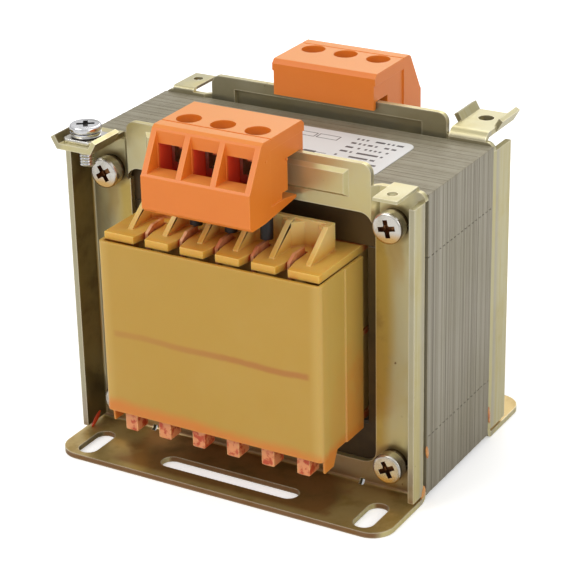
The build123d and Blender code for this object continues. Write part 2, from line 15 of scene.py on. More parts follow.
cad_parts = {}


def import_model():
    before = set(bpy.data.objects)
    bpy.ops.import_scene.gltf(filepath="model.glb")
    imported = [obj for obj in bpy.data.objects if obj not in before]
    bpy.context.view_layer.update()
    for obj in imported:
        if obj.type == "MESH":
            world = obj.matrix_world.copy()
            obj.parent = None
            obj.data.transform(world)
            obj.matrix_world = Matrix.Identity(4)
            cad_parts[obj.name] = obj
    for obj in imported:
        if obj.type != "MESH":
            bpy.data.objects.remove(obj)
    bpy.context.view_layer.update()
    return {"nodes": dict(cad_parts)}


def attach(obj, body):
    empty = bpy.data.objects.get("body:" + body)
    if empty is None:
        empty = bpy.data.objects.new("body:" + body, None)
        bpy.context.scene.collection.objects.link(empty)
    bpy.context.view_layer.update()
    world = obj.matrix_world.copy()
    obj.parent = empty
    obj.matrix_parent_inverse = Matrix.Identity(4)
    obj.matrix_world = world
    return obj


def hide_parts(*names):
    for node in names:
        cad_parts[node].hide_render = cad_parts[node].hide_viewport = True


LOG = logging.getLogger("transformer")
MM = 0.001
BODY = "root"

Colour = tuple[float, float, float]
Material = bpy.types.Material
Piece = bpy.types.Object
Socket = bpy.types.NodeSocket

# Angles in degrees that decide which edges are rounded, shaded sharp or merged away
ROUNDED_ANGLE, PACKED_ANGLE, HEAD_ANGLE = 30.0, 25.0, 40.0
SHARP_ANGLE, FLAT_ANGLE = 35.0, 0.5

# Places and sizes that pieces and finishes share
BOLT_ACROSS, BOLT_LOW, BOLT_ROW = 40 * MM, 9.5 * MM, 64 * MM
EARTH_PLACE = Vector((-40.6, -29.3, 85.3)) * MM
M4_PITCH, HEAD_RADIUS, RECESS_SPAN = 0.7 * MM, 4.0 * MM, 4.5 * MM
RECESS_RIM = (2.65 * MM, 2.4 * MM)
THREAD_DEPTH = 0.55  # share of the pitch
WELD = 0.002 * MM


def shade(red: int, green: int, blue: int) -> Colour:
    """Turns a screen colour of 0 to 255 into the linear colour that a shader takes."""
    parts = (value / 255 for value in (red, green, blue))
    return tuple(p / 12.92 if p <= 0.04045 else ((p + 0.055) / 1.055) ** 2.4 for p in parts)


def millimetres(x: float, y: float, z: float) -> Vector:
    """Gives a place in metres from one in millimetres."""
    return Vector((x, y, z)) * MM


class Side(Enum):
    """Front or rear of the transformer; the rear is the front turned half a turn."""

    FRONT = "front"
    REAR = "rear"

    @property
    def turn(self) -> Matrix:
        """The turn about the vertical axis that carries a front piece to this side."""
        return Matrix.Rotation(0.0 if self is Side.FRONT else math.pi, 4, "Z")


# Bench tools: modelling with operators


def clear_selection() -> None:
    """Leaves nothing selected and nothing in edit mode."""
    if bpy.context.object and bpy.context.object.mode != "OBJECT":
        bpy.ops.object.mode_set(mode="OBJECT")
    bpy.ops.object.select_all(action="DESELECT")


def pick(piece: Piece) -> None:
    """Makes one object the selected and active one.

    Args:
        piece: The object to select.
    """
    clear_selection()
    piece.select_set(True)
    bpy.context.view_layer.objects.active = piece


def added(name: str) -> Piece:
    """Names the object that was just added, and moves its place, turn and scale into its mesh.

    Args:
        name: Name of the object.

    Returns:
        The object, which now sits at the origin.
    """
    piece = bpy.context.object
    piece.name = name
    pick(piece)
    bpy.ops.object.transform_apply(location=True, rotation=True, scale=True)
    return piece


def apply_modifiers(piece: Piece) -> Piece:
    """Applies every modifier of a piece in order.

    Args:
        piece: The object whose modifiers are applied.

    Returns:
        The same object.
    """
    pick(piece)
    for name in [modifier.name for modifier in piece.modifiers]:
        bpy.ops.object.modifier_apply(modifier=name)
    return piece


def block(name: str, low: Vector, high: Vector) -> Piece:
    """Adds a block between two corners.

    Args:
        name: Name of the new object.
        low: Lowest corner, in metres.
        high: Highest corner, in metres.

    Returns:
        The new object, settled at the origin.
    """
    clear_selection()
    bpy.ops.mesh.primitive_cube_add(size=1, location=(low + high) / 2, scale=high - low)
    return added(name)


def bar(name: str, start: Vector, end: Vector, radius: float, sides: int) -> Piece:
    """Adds a round bar between two points.

    Args:
        name: Name of the new object.
        start: First end of its axis, in metres.
        end: Other end of its axis, in metres.
        radius: Radius in metres.
        sides: Number of facets round it.

    Returns:
        The new object, settled at the origin.
    """
    clear_selection()
    run = end - start
    turn = Vector((0, 0, 1)).rotation_difference(run).to_euler()
    bpy.ops.mesh.primitive_cylinder_add(vertices=sides, radius=radius, depth=run.length,
                                        location=(start + end) / 2, rotation=turn)
    return added(name)


def cut(piece: Piece, tools: Iterable[Piece]) -> Piece:
    """Cuts tool shapes out of a piece and throws the tools away.

    Args:
        piece: The object that is cut.
        tools: The shapes to take out.

    Returns:
        The cut object.
    """
    for tool in tools:
        modifier = piece.modifiers.new("cut", "BOOLEAN")
        modifier.operation = "DIFFERENCE"
        modifier.solver = "EXACT"
        modifier.object = tool
        apply_modifiers(piece)
        bpy.data.objects.remove(tool)
    return piece


def ease_edges(piece: Piece, width: float, angle: float = ROUNDED_ANGLE, steps: int = 2) -> Piece:
    """Rounds the sharp edges of a piece slightly.

    Args:
        piece: The object to finish.
        width: Width of the rounding in metres.
        angle: Edges sharper than this many degrees are rounded.
        steps: Number of facets across the rounding.

    Returns:
        The same object.
    """
    modifier = piece.modifiers.new("eased", "BEVEL")
    modifier.width = width
    modifier.segments = steps
    modifier.limit_method = "ANGLE"
    modifier.angle_limit = math.radians(angle)
    modifier.use_clamp_overlap = True
    apply_modifiers(piece)
    pick(piece)
    bpy.ops.object.shade_smooth_by_angle(angle=math.radians(SHARP_ANGLE))
    evened = piece.modifiers.new("evened", "WEIGHTED_NORMAL")
    evened.keep_sharp = True
    return apply_modifiers(piece)


def joined(name: str, pieces: Sequence[Piece]) -> Piece:
    """Joins several objects into one.

    Args:
        name: Name of the joined object.
        pieces: The objects to join.

    Returns:
        The joined object.
    """
    clear_selection()
    for piece in pieces:
        piece.select_set(True)
    bpy.context.view_layer.objects.active = pieces[0]
    bpy.ops.object.join()
    made = bpy.context.view_layer.objects.active
    made.name = name
    return made


def copied(piece: Piece, name: str, move: Matrix) -> Piece:
    """Copies a piece with a mesh of its own and moves the copy's mesh.

    Args:
        piece: The object to copy.
        name: Name of the copy.
        move: Where the copy goes, as a matrix on the mesh.

    Returns:
        The copy.
    """
    made = piece.copy()
    made.data = piece.data.copy()
    made.name = name
    made.data.transform(move)
    bpy.context.scene.collection.objects.link(made)
    return made


def threaded_bar(name: str, radius: float, low: float, high: float, pitch: float = M4_PITCH) -> Piece:
    """Makes an upright bar with thread ridges round it, from pairs of cones.

    Args:
        name: Name of the new object.
        radius: Outer radius of the thread in metres.
        low: Height of its lower end in metres.
        high: Height of its upper end in metres.
        pitch: Height of one ridge in metres.

    Returns:
        The threaded bar.
    """
    core = radius - THREAD_DEPTH * pitch
    count = max(1, round((high - low) / pitch))
    step = (high - low) / count
    rings = []
    for n in range(count):
        middle = low + (n + 0.5) * step
        for wide_low, centre in ((False, middle - step / 4), (True, middle + step / 4)):
            clear_selection()
            bpy.ops.mesh.primitive_cone_add(vertices=28, radius1=radius if wide_low else core,
                                            radius2=core if wide_low else radius, depth=step / 2,
                                            location=(0, 0, centre))
            rings.append(added("ring"))
    return joined(name, rings)


def driver_recess(width: float, top: float, depth: float, twist: float,
                  span: float = RECESS_SPAN) -> list[Piece]:
    """Makes the cutting shapes of a cross recess.

    Args:
        width: Width of its arms in metres.
        top: Height of the head's top in metres.
        depth: Depth of the recess in metres.
        twist: Turn of the recess in degrees.
        span: Reach across the recess in metres.

    Returns:
        The shapes to cut out of the head.
    """
    tools = []
    for turn in (twist, twist + 90):
        arm = block("recess arm", Vector((-span / 2, -width / 2, top - depth)),
                    Vector((span / 2, width / 2, top + depth)))
        arm.data.transform(Matrix.Rotation(math.radians(turn), 4, "Z"))
        tools.append(arm)
    deepest, middle_radius = top - 1.3 * depth, 0.85 * width
    tools.append(bar("recess middle", Vector((0, 0, deepest)), Vector((0, 0, top + depth)),
                     middle_radius, 16))
    return tools


def mounted(piece: Piece, finish: Material,
            replaced: Sequence[str] = ()) -> Piece:
    """Gives a finished piece its material, its body and the nodes that it stands for.

    Args:
        piece: The finished object.
        finish: The material that it shows.
        replaced: Names of the nodes that it stands for.

    Returns:
        The same object.
    """
    piece.data.materials.clear()
    piece.data.materials.append(finish)
    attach(piece, BODY)
    if replaced:
        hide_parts(*replaced)
    LOG.info("%s: %d faces", piece.name, len(piece.data.polygons))
    return piece


def softened_copy(node: Piece, name: str, width: float) -> Piece:
    """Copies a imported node, merges its facets into clean faces and rounds its edges.

    Args:
        node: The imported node.
        name: Name of the copy.
        width: Width of the rounding in metres.

    Returns:
        The softened copy.
    """
    made = copied(node, name, Matrix.Identity(4))
    made.parent = None
    for key in list(made.keys()):
        del made[key]
    pick(made)
    bpy.ops.object.mode_set(mode="EDIT")
    bpy.ops.mesh.select_all(action="SELECT")
    bpy.ops.mesh.remove_doubles(threshold=WELD)
    bpy.ops.mesh.dissolve_limited(angle_limit=math.radians(FLAT_ANGLE))
    bpy.ops.object.mode_set(mode="OBJECT")
    return ease_edges(made, width, PACKED_ANGLE)


# Finishes


class Recipe:
    """Builds one node tree, for a material or a shared group, by short calls."""

    def __init__(self, tree: bpy.types.NodeTree) -> None:
        """Starts on an empty tree."""
        self.tree = tree

    def add(self, kind: str, inputs: dict[str | int, object] | None = None,
            **settings: object) -> bpy.types.Node:
        """Adds a node, sets its properties and feeds its inputs.

        Args:
            kind: The node's type name.
            inputs: Values or sockets for its inputs, by name or index.
            **settings: Properties of the node.

        Returns:
            The new node.
        """
        node = self.tree.nodes.new(kind)
        for name, value in settings.items():
            setattr(node, name, value)
        for key, value in (inputs or {}).items():
            socket = node.inputs[key]
            if isinstance(value, Socket):
                self.tree.links.new(value, socket)
            elif socket.type == "RGBA" and len(value) == 3:
                socket.default_value = (*value, 1.0)
            else:
                socket.default_value = value
        return node

    def use(self, group: bpy.types.NodeTree, **inputs: object) -> Socket:
        """Places a shared group, feeds its inputs by name and gives its output."""
        return self.add("ShaderNodeGroup", inputs, node_tree=group).outputs[0]

    def split(self, vector: Socket) -> tuple[Socket, ...]:
        """Splits a vector into its X, Y and Z."""
        return tuple(self.add("ShaderNodeSeparateXYZ", {0: vector}).outputs)

    def combined(self, *parts: object) -> Socket:
        """Makes a vector from its X, Y and Z, as values or sockets."""
        return self.add("ShaderNodeCombineXYZ", dict(enumerate(parts))).outputs[0]

    def normal(self) -> tuple[Socket, ...]:
        """Gives the X, Y and Z of the surface's normal."""
        return self.split(self.add("ShaderNodeNewGeometry").outputs["Normal"])

    def sum(self, kind: str, first: object, second: object = 0.0) -> Socket:
        """Does one sum, such as MULTIPLY, on two values or sockets."""
        return self.add("ShaderNodeMath", {0: first, 1: second}, operation=kind).outputs[0]

    def times(self, *factors: object) -> object:
        """Multiplies masks and values; a tuple stands for the ramp that it gives the arguments of."""
        masks = (self.ramp(*factor) if isinstance(factor, tuple) else factor for factor in factors)
        return reduce(lambda product, mask: self.sum("MULTIPLY", product, mask), masks)

    def size_off(self, value: Socket, middle: float) -> Socket:
        """Gives how far a value is from a middle, on either side."""
        return self.sum("ABSOLUTE", self.sum("SUBTRACT", value, middle))

    def distance(self, first: Socket, second: Socket) -> Socket:
        """Gives the distance from an axis, from the distances along two directions."""
        return self.sum("SQRT", self.sum("ADD", self.times(first, first), self.times(second, second)))

    def shifted(self, value: Socket, patches: Socket, reach: float) -> Socket:
        """Makes a place wander with soft patches, by half the reach to either side."""
        return self.sum("ADD", value, self.times(self.sum("SUBTRACT", patches, 0.5), reach))

    def ramp(self, value: object, start: float, end: float, low: float = 0.0, high: float = 1.0) -> Socket:
        """Makes a smooth mask, low before the start of a value's range and high after its end."""
        inputs = {"Value": value, "From Min": start, "From Max": end, "To Min": low, "To Max": high}
        return self.add("ShaderNodeMapRange", inputs, interpolation_type="SMOOTHSTEP").outputs[0]

    def blend(self, mask: object, first: Colour | Socket, second: Colour | Socket) -> Socket:
        """Mixes two colours, of which plain ones are screen colours.

        Args:
            mask: How much of the second colour shows.
            first: First colour.
            second: Second colour.

        Returns:
            The mixed colour.
        """
        low, high = (shade(*colour) if isinstance(colour, tuple) else colour for colour in (first, second))
        return self.add("ShaderNodeMix", {0: mask, 6: low, 7: high}, data_type="RGBA",
                        clamp_result=True).outputs[2]


class SharedEffects:
    """The effects that more than one finish uses, each a node group built once."""

    def __init__(self) -> None:
        """Builds all the groups."""
        self.mottle = self._mottle()
        self.grain = self._grain()
        self.edge_light = self._edge_light()

    @staticmethod
    def _start(name: str, output: str, output_kind: str,
               **inputs: float | None) -> tuple[Recipe, Sequence[Socket]]:
        """Makes an empty group with its sockets.

        Args:
            name: Name of the group.
            output: Name of its output.
            output_kind: Socket type of the output.
            **inputs: First value of each input, or None for a vector.

        Returns:
            The recipe and the sockets that bring the inputs.
        """
        group = bpy.data.node_groups.new(name, "ShaderNodeTree")
        for label, value in inputs.items():
            kind = "NodeSocketVector" if value is None else "NodeSocketFloat"
            socket = group.interface.new_socket(label, in_out="INPUT", socket_type=kind)
            if value is not None:
                socket.default_value = value
        group.interface.new_socket(output, in_out="OUTPUT", socket_type=output_kind)
        recipe = Recipe(group)
        return recipe, recipe.add("NodeGroupInput").outputs

    def _mottle(self) -> bpy.types.NodeTree:
        """Soft patches: a mask from noise between two levels."""
        recipe, given = self._start("soft patches", "Mask", "NodeSocketFloat", Vector=None, Scale=60,
                                    From=0.45, To=0.65)
        noise = recipe.add("ShaderNodeTexNoise",
                           {"Vector": given[0], "Scale": given[1], "Detail": 5.0, "Roughness": 0.6})
        recipe.add("NodeGroupOutput", {0: recipe.ramp(noise.outputs[0], given[2], given[3])})
        return recipe.tree

    def _grain(self) -> bpy.types.NodeTree:
        """Fine relief: a bumped normal from noise, its depth in metres."""
        recipe, given = self._start("fine relief", "Normal", "NodeSocketVector", Vector=None, Scale=900,
                                    Depth=0.00002)
        noise = recipe.add("ShaderNodeTexNoise", {"Vector": given[0], "Scale": given[1], "Detail": 4.0})
        bump = recipe.add("ShaderNodeBump", {"Height": noise.outputs[0], "Distance": given[2]})
        recipe.add("NodeGroupOutput", {0: bump.outputs[0]})
        return recipe.tree

    def _edge_light(self) -> bpy.types.NodeTree:
        """Painted edge highlights: a mask along the convex and concave edges within a radius in metres."""
        recipe, given = self._start("edge mask", "Mask", "NodeSocketFloat", Radius=0.0006, Gain=3.0)
        rounded = recipe.add("ShaderNodeBevel", {"Radius": given[0]}, samples=6)
        flat = recipe.add("ShaderNodeNewGeometry").outputs["Normal"]
        dot = recipe.add("ShaderNodeVectorMath", {0: rounded.outputs[0], 1: flat}, operation="DOT_PRODUCT")
        turned = recipe.sum("SUBTRACT", 1.0, dot.outputs["Value"])
        gained = recipe.add("ShaderNodeMath", {0: turned, 1: given[1]}, operation="MULTIPLY", use_clamp=True)
        recipe.add("NodeGroupOutput", {0: gained.outputs[0]})
        return recipe.tree


@dataclass(frozen=True)
class Surface:
    """The plain sockets of a finish, set on the shader itself."""

    name: str
    roughness: float
    metallic: float = 0.0
    coat: float = 0.0
    coat_roughness: float = 0.2
    specular: float = 0.5
    subsurface: float = 0.0
    subsurface_scale: float = 0.002
    subsurface_radius: Colour = (1.0, 0.45, 0.15)
    ior: float = 1.5

    def start(self) -> tuple[Recipe, bpy.types.Node, Material]:
        """Makes the material with its shader.

        Returns:
            The recipe, the shader node and the material.
        """
        material = bpy.data.materials.new(self.name)
        material.use_nodes = True
        material.node_tree.nodes.clear()
        recipe = Recipe(material.node_tree)
        shader = recipe.add("ShaderNodeBsdfPrincipled", {
            "Roughness": self.roughness, "Metallic": self.metallic, "Coat Weight": self.coat,
            "Coat Roughness": self.coat_roughness, "Specular IOR Level": self.specular,
            "Subsurface Weight": self.subsurface, "Subsurface Scale": self.subsurface_scale,
            "Subsurface Radius": self.subsurface_radius, "IOR": self.ior})
        recipe.add("ShaderNodeOutputMaterial", {"Surface": shader.outputs[0]})
        return recipe, shader, material


class FinishRecipe(Recipe):
    """The recipe of one finish, with the place on the object and the shared effects at hand."""

    def __init__(self, surface: Surface, effects: SharedEffects, base: Colour) -> None:
        """Makes the material and splits the place on the object, in metres.

        Args:
            surface: The plain sockets of the finish.
            effects: The shared node groups.
            base: The screen colour that the tints lie on.
        """
        recipe, self.shader, self.material = surface.start()
        super().__init__(recipe.tree)
        self.effects = effects
        self.base = base
        self.place = self.add("ShaderNodeTexCoord").outputs["Object"]
        self.x, self.y, self.z = self.split(self.place)
        self.across = self.sum("ABSOLUTE", self.x)
        self.out = self.sum("ABSOLUTE", self.y)

    def tint(self, colour: Colour | Socket, *masks: object) -> None:
        """Lays a colour over the base, as far as the product of the masks and strengths says."""
        self.base = self.blend(self.times(*masks), self.base, colour)

    def patches(self, scale: float, low: float, high: float, place: Socket | None = None) -> Socket:
        """Masks soft patches that begin at the low level of their noise and are full at the high."""
        return self.use(self.effects.mottle, Vector=place or self.place, Scale=scale, From=low, To=high)

    def edges(self, radius: float, gain: float = 2.5) -> Socket:
        """Masks the edges within a radius in metres, where the finishes paint a highlight."""
        return self.use(self.effects.edge_light, Radius=radius, Gain=gain)

    def grain(self, scale: float, depth: float) -> Socket:
        """Gives the normal of a fine relief, its depth in metres."""
        return self.use(self.effects.grain, Vector=self.place, Scale=scale, Depth=depth)

    def round_bolt(self) -> tuple[Socket, Socket]:
        """Gives the height above the nearest core bolt's axis, and the distance from that axis."""
        above = self.sum("SUBTRACT", self.z, BOLT_LOW)
        height = self.add("ShaderNodeMath", {0: above, 1: BOLT_ROW / 2, 2: -BOLT_ROW / 2},
                          operation="WRAP").outputs[0]
        return height, self.distance(height, self.sum("SUBTRACT", self.across, BOLT_ACROSS))

    def box(self, middle: tuple[float, float], half: tuple[float, float]) -> object:
        """Masks a box seen from above, from its middle and half its sides in metres."""
        return self.times(*(self.sum("LESS_THAN", self.size_off(place, centre), reach)
                            for place, centre, reach in zip((self.x, self.y), middle, half)))

    def done(self, relief: Socket | None = None, rough: Socket | None = None) -> Material:
        """Feeds the shader.

        Args:
            relief: The normal, where the finish has a relief.
            rough: The roughness, where it varies.

        Returns:
            The material.
        """
        for name, socket in (("Base Color", self.base), ("Normal", relief), ("Roughness", rough)):
            if socket is not None:
                self.tree.links.new(socket, self.shader.inputs[name])
        return self.material


class Finishes:
    """All the finishes of the transformer, built once."""

    def __init__(self, effects: SharedEffects) -> None:
        """Builds the materials.

        Args:
            effects: The shared node groups.
        """
        self.effects = effects
        self.passivated = self._passivated_sheet()
        self.lamination = self._lamination_edges()
        self.terminal = self._terminal_nylon()
        self.cover = self._coil_cover()
        self.bobbin = self._bobbin()
        self.bright_zinc = self._plated("bright zinc", (214, 212, 208), (168, 164, 152), 0.2)
        self.bolt_zinc = self._bolt_zinc()
        self.screw_zinc = self._screw_zinc()
        self.screw_steel = self._plated("screw steel", (196, 190, 178), (150, 128, 104), 0.34)
        self.tag_brass = self._plated("tinned tags", (240, 186, 140), (196, 112, 66), 0.34, 0.6)
        self.copper = self._plated("enamelled copper", (176, 88, 42), (120, 52, 24), 0.28)
        self.film = self._moulding("winding film", (206, 166, 92), (218, 180, 110), (180, 130, 60), 0.3)
        self.sleeve = self._moulding("black sleeve", (26, 24, 23), (36, 34, 32), (16, 14, 14), 0.5)
        self.label = self._label()
        self.varnish = self._varnish()

    def _mix(self, name: str, base: Colour, roughness: float, **sockets: float) -> FinishRecipe:
        """Starts a finish with its first colour; the rest are fields of its surface."""
        return FinishRecipe(Surface(name, roughness, **sockets), self.effects, base)

    def _moulding(self, name: str, colour: Colour, light: Colour, dark: Colour, roughness: float) -> Material:
        """A plain moulded finish with soft patches, a painted highlight along its edges and a fine relief.

        Args:
            name: Name of the material.
            colour: Its main colour.
            light: Colour of the painted highlight along its edges.
            dark: Colour of its darker patches.
            roughness: Its roughness.

        Returns:
            The material.
        """
        mix = self._mix(name, colour, roughness, subsurface=0.06)
        mix.tint(dark, mix.patches(70.0, 0.5, 0.8), 0.35)
        # Painted highlight along the edges
        mix.tint(light, mix.edges(0.0007), 0.6)
        return mix.done(mix.grain(1400.0, 0.000012))

    def _plated(self, name: str, colour: Colour, dull: Colour, roughness: float,
                metallic: float = 1.0) -> Material:
        """A plated metal with duller patches.

        Args:
            name: Name of the material.
            colour: Its bright colour.
            dull: Colour of its duller patches.
            roughness: Its least roughness.
            metallic: How metallic it looks.

        Returns:
            The material.
        """
        mix = self._mix(name, colour, roughness, metallic=metallic)
        patches = mix.patches(260.0, 0.42, 0.7)
        rough = mix.sum("ADD", mix.times(patches, 0.18), roughness)
        mix.tint(dull, patches, 0.7)
        return mix.done(mix.grain(2200.0, 0.000008), rough)

    def _terminal_nylon(self) -> Material:
        """Orange nylon with painted highlights on top and along the edges, deep red inside the clamp
        chambers.
        """
        mix = self._mix("orange terminal nylon", (232, 127, 38), 0.38, subsurface=0.1)
        _, _, upward = mix.normal()
        mix.tint((220, 108, 24), mix.patches(60.0, 0.4, 0.75), 0.25)
        # Painted highlight on the upward faces
        mix.tint((255, 176, 92), (upward, 0.75, 0.98, 0.0, 0.55))
        # Painted highlight along the edges
        mix.tint((252, 160, 76), mix.edges(0.0006), 0.6)
        chambers = mix.times((mix.out, 0.0385, 0.0372), (mix.out, 0.0262, 0.0266),
                             (mix.z, 0.0912, 0.0908), (mix.z, 0.0790, 0.0800),
                             (mix.across, 0.0142, 0.0140))
        mix.tint((244, 92, 56), chambers)
        return mix.done(mix.grain(1400.0, 0.000012))

    def _bolt_zinc(self) -> Material:
        """Zinc of the core bolts: gold stain low on each head, painted shade in the recess and a painted
        shadow on the washer.
        """
        mix = self._mix("bolt zinc", (216, 212, 204), 0.26, metallic=0.9)
        height, radius = mix.round_bolt()
        forward = mix.times(mix.y, -1.0)
        patches = mix.patches(300.0, 0.4, 0.7)
        mix.tint((164, 156, 132), patches, 0.6)
        stain = mix.ramp(mix.sum("ADD", height, mix.times(patches, 0.0012)), 0.0, -0.0026)
        mix.tint((206, 158, 66), stain, 0.85)
        # Painted shade in the cross recess
        recess = mix.times((radius, *RECESS_RIM), (forward, 0.02392, 0.0238), (forward, 0.0212, 0.0214))
        mix.tint((122, 84, 52), recess)
        # Painted shadow on the spring washer under the head
        washer = mix.times((forward, 0.0208, 0.0206), (forward, 0.0190, 0.0192))
        mix.tint((84, 72, 50), washer)
        return mix.done(mix.grain(1600.0, 0.000015))

    def _screw_zinc(self) -> Material:
        """Bright zinc of the earth screw, with painted shade in its recess and a painted shadow under its
        head.
        """
        mix = self._mix("earth screw zinc", (224, 224, 226), 0.2, metallic=1.0)
        radius = mix.distance(mix.sum("SUBTRACT", mix.x, EARTH_PLACE.x),
                              mix.sum("SUBTRACT", mix.y, EARTH_PLACE.y))
        mix.tint((176, 174, 170), mix.patches(260.0, 0.42, 0.7), 0.6)
        # Painted shade in the cross recess
        recess = mix.times((radius, *RECESS_RIM), (mix.z, 0.08832, 0.0882), (mix.z, 0.0862, 0.0864))
        mix.tint((150, 148, 146), recess)
        # Painted shadow under the head
        shadow_under_head = mix.times((mix.z, 0.0857, 0.0855), (mix.z, 0.0848, 0.0850))
        mix.tint((70, 62, 52), shadow_under_head)
        return mix.done(mix.grain(2200.0, 0.000008))

    def _label(self) -> Material:
        """White label film with rows of plain dark marks that spell nothing."""
        mix = self._mix("label film", (226, 225, 222), 0.42)
        row_pitch, row_half, word_pitch, blank_share, line = 0.0030, 0.17, 0.00065, 0.42, 0.00028
        rows = mix.sum("DIVIDE", mix.y, row_pitch)
        words = mix.sum("DIVIDE", mix.x, word_pitch)
        in_row = mix.sum("LESS_THAN", mix.size_off(mix.sum("FRACT", rows), 0.5), row_half)
        cell = mix.combined(mix.sum("FLOOR", words), mix.sum("FLOOR", rows))
        word = mix.add("ShaderNodeTexWhiteNoise", {"Vector": cell}).outputs[0]
        printed = mix.times(in_row, mix.sum("GREATER_THAN", word, blank_share),
                            mix.box((0.022, -0.002), (0.0065, 0.0104)))
        for middle, half in (((-0.001, 0.0055), (0.006, 0.0014)), ((0.0085, 0.0055), (0.003, 0.0014))):
            hollow = mix.box(middle, (half[0] - line, half[1] - line))
            outline = mix.sum("SUBTRACT", mix.box(middle, half), hollow)
            printed = mix.sum("MAXIMUM", printed, outline)
        for row in (-0.0052, -0.0082):
            for half in ((0.0046, 0.00014), (0.0017, 0.0006)):
                printed = mix.sum("MAXIMUM", printed, mix.box((0.009, row), half))
        mix.tint((214, 210, 200), mix.patches(60.0, 0.4, 0.8), 0.4)
        mix.tint((70, 68, 68), printed)
        return mix.done()

    def _passivated_sheet(self) -> Material:
        """Yellow-passivated zinc on the frames, with gold and brown varnish tints, painted shade inside and
        painted edge highlights.
        """
        mix = self._mix("passivated zinc", (198, 190, 150), 0.36, metallic=0.6)
        wide = mix.patches(30.0, 0.36, 0.66)
        small = mix.patches(120.0, 0.42, 0.72)
        sideways, facing, upward = mix.normal()
        mix.tint((206, 192, 134), wide)
        self._leg_tints(mix, facing, wide, small)
        self._foot_tints(mix, upward, wide, small)
        inward = mix.times(sideways, mix.x, -1.0)
        flange = mix.ramp(mix.out, 0.0196, 0.0202)
        # Brown on the flanges' inward faces: varnish with painted shade between flange and coil
        brown = mix.blend(small, (112, 96, 50), (84, 66, 30))
        mix.tint(brown, (inward, 0.02, 0.035), flange, 0.9)
        # Painted shade: the rear frame's inner face, facing the core, made darker grey
        grey = mix.blend(wide, (142, 136, 114), (126, 118, 88))
        mix.tint(grey, (mix.y, 0.0170, 0.0178), (facing, -0.6, -0.9), 0.9)
        drawn = mix.combined(0.0, mix.times(mix.y, 700.0), mix.times(mix.z, 25.0))
        outer = mix.times((inward, -0.02, -0.035), flange)
        mix.tint((188, 172, 108), outer, mix.patches(1.0, 0.4, 0.62, drawn), 0.5)
        mix.tint((170, 164, 154), outer, (mix.out, 0.0225, 0.0205), 0.6)
        # Painted highlight along the edges
        mix.tint((232, 224, 196), mix.edges(0.0006, 4.0), 0.75)
        mix.tint((96, 62, 26), mix.patches(420.0, 0.70, 0.76), 0.8)
        rough = mix.ramp(small, 0.0, 1.0, 0.3, 0.46)
        return mix.done(mix.grain(700.0, 0.000025), rough)

    @staticmethod
    def _leg_tints(mix: FinishRecipe, facing: Socket, wide: Socket, small: Socket) -> None:
        """Tints the upright faces: gold by the window, straw in the middle, grey by the flange and low down.

        Args:
            mix: The recipe of the material.
            facing: Forward part of the normal.
            wide: Large patches.
            small: Small patches.
        """
        plate = mix.ramp(mix.sum("ABSOLUTE", facing), 0.6, 0.9)
        bent = mix.shifted(mix.across, wide, 0.0024)
        gold = mix.blend(small, (192, 162, 70), (166, 132, 52))
        beside_window = mix.times((bent, 0.0400, 0.0362), (mix.z, 0.0740, 0.0690))
        mix.tint(gold, beside_window, plate, 0.85)
        mix.tint((160, 154, 136), (bent, 0.0432, 0.0462), plate, 0.6)
        dull = mix.blend(small, (164, 150, 134), (150, 124, 84))
        mix.tint(dull, (mix.z, 0.0150, 0.0090), plate, 0.7)
        height, radius = mix.round_bolt()
        # Brown ring round each bolt head: a painted shadow, with some rust
        mix.tint((118, 92, 42), (radius, 0.0056, 0.0041), plate, 0.6)
        streak = mix.times((mix.size_off(bent, BOLT_ACROSS), 0.0028, 0.0008), (height, -0.0030, -0.0045),
                           (height, -0.018, -0.009))
        mix.tint((178, 140, 58), streak, plate, 0.5)
        mix.tint((122, 78, 34), (mix.z, 0.0045, 0.0015), plate, 0.8)

    @staticmethod
    def _foot_tints(mix: FinishRecipe, upward: Socket, wide: Socket, small: Socket) -> None:
        """Tints the foot: gold-olive with a brown varnish stain round the long slot.

        Args:
            mix: The recipe of the material.
            upward: Upward part of the normal.
            wide: Large patches.
            small: Small patches.
        """
        foot = mix.times((upward, 0.6, 0.9), (mix.z, 0.0030, 0.0020), (mix.out, 0.0192, 0.0200))
        mix.tint(mix.blend(small, (190, 164, 104), (162, 134, 70)), foot)
        stain = mix.times((mix.shifted(mix.across, wide, 0.012), 0.0320, 0.0250), (mix.out, 0.0400, 0.0375))
        pool = mix.blend(small, (142, 92, 42), (112, 84, 44))
        mix.tint(pool, stain, foot, 0.8)

    def _lamination_edges(self) -> Material:
        """Steel sheets seen on edge, a line for each sheet, and dark faces in the window, varnish with
        painted shade.
        """
        mix = self._mix("lamination steel", (176, 169, 151), 0.46, metallic=0.35, specular=0.4)
        sheet, groove_depth = 0.0005, 0.00006
        count = mix.sum("DIVIDE", mix.y, sheet)
        tone = mix.add("ShaderNodeTexWhiteNoise", {"W": mix.sum("FLOOR", count)},
                       noise_dimensions="1D").outputs[0]
        drawn = mix.combined(mix.times(mix.x, 14.0), mix.times(mix.y, 2600.0), mix.times(mix.z, 14.0))
        streak = mix.add("ShaderNodeTexNoise", {"Vector": drawn, "Scale": 1.0, "Detail": 2.0}).outputs[0]
        groove = mix.ramp(mix.size_off(mix.sum("FRACT", count), 0.5), 0.30, 0.5)
        patches = mix.patches(45.0, 0.4, 0.7)
        mix.tint((150, 142, 124), tone)
        mix.tint((110, 103, 86), (streak, 0.52, 0.7, 0.0, 0.36))
        mix.tint((146, 140, 108), patches, 0.25)
        mix.tint((66, 60, 48), groove, (tone, 0.5, 0.95, 0.2, 1.0), 0.75)
        varnished = mix.blend(mix.patches(300.0, 0.35, 0.8), (136, 128, 100), (112, 100, 62))
        mix.tint(varnished, (mix.z, 0.0812, 0.0814), 0.45)
        mix.tint((112, 102, 80), (mix.z, 0.04, 0.0, 0.0, 0.35))
